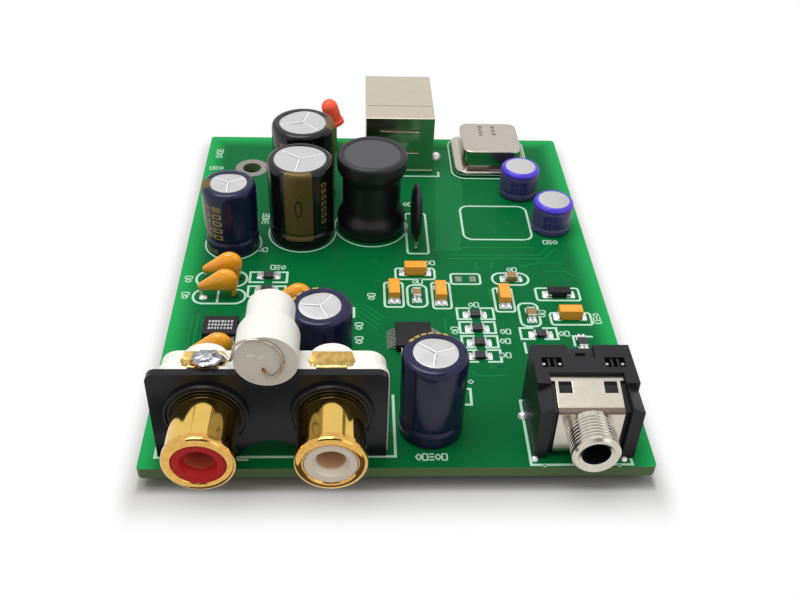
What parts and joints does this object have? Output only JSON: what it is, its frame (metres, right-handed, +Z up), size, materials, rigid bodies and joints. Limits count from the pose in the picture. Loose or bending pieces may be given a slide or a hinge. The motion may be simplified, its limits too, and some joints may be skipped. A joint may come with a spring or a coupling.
{
  "type": "usb audio converter board",
  "caption": "Bare USB audio converter board with gold twin phono sockets, a headphone socket, a USB socket, sleeved capacitors, a choke and surface-mounted chips.",
  "frame": {"origin": "centre of the bounding box, on the plane of the trimmed lead tails", "axes": "+X to the right, +Y from the phono sockets to the USB socket, +Z up from the board"},
  "size_m": [0.065, 0.0924, 0.0232],
  "materials": {
    "board_green": "green solder mask over glass fibre board",
    "plate_black": "glossy black moulding",
    "nylon_white": "natural white nylon",
    "gold_plate": "gold plate",
    "insert_red": "red moulding",
    "insert_white": "white moulding",
    "tin_plate": "tinned metal",
    "solder": "bright solder",
    "jack_black": "black moulding",
    "nickel_plate": "nickel plate",
    "usb_metal": "tinned steel",
    "usb_plastic": "white moulding",
    "clock_metal": "satin nickel",
    "lamp_red": "clear red moulding",
    "sleeve_navy": "shrunk sleeve",
    "sleeve_black": "shrunk sleeve with a gold band",
    "sleeve_violet": "coloured can",
    "choke_black": "shrunk sleeve over ferrite",
    "fuse_black": "dipped coating",
    "orange_dip": "dipped coating",
    "tantalum_orange": "moulded block",
    "ceramic_brown": "ceramic",
    "resistor_black": "glass glaze",
    "chip_black": "moulded epoxy"
  },
  "bodies": {
    "root": {"amplifier_chip": "chip_black", "black_capacitor_front": "sleeve_black", "black_capacitor_rear": "sleeve_black", "capacitor_leads": "tin_plate", "ceramic_chips": "ceramic_brown", "chip_ends": "solder", "chip_leads": "tin_plate", "choke_body": "choke_black", "choke_leads": "tin_plate", "circuit_board": "board_green", "clock_base": "clock_metal", "clock_can": "clock_metal", "clock_pins": "tin_plate", "converter_chip": "chip_black", "diode_body": "chip_black", "dipped_capacitor_front": "orange_dip", "dipped_capacitor_leads": "tin_plate", "dipped_capacitor_middle": "orange_dip", "dipped_capacitor_rear": "orange_dip", "dipped_capacitor_right": "orange_dip", "fuse_body": "fuse_black", "fuse_leads": "tin_plate", "ground_solder": "solder", "ground_wire": "tin_plate", "jack_collar": "nickel_plate", "jack_contacts": "tin_plate", "jack_faceplate": "nickel_plate", "jack_housing": "jack_black", "lamp_body": "lamp_red", "lamp_leads": "tin_plate", "navy_capacitor_front": "sleeve_navy", "navy_capacitor_left": "sleeve_navy", "navy_capacitor_middle": "sleeve_navy", "phono_contact_left": "tin_plate", "phono_contact_right": "tin_plate", "phono_faceplate": "plate_black", "phono_ground_tab_left": "gold_plate", "phono_ground_tab_right": "gold_plate", "phono_housing": "nylon_white", "phono_insert_left": "insert_red", "phono_insert_right": "insert_white", "phono_shell_left": "gold_plate", "phono_shell_right": "gold_plate", "resistor_chips": "resistor_black", "tantalum_blocks": "tantalum_orange", "usb_contacts": "gold_plate", "usb_insulator": "usb_plastic", "usb_shell": "usb_metal", "violet_capacitor_front": "sleeve_violet", "violet_capacitor_rear": "sleeve_violet"}
  },
  "joints": []
}
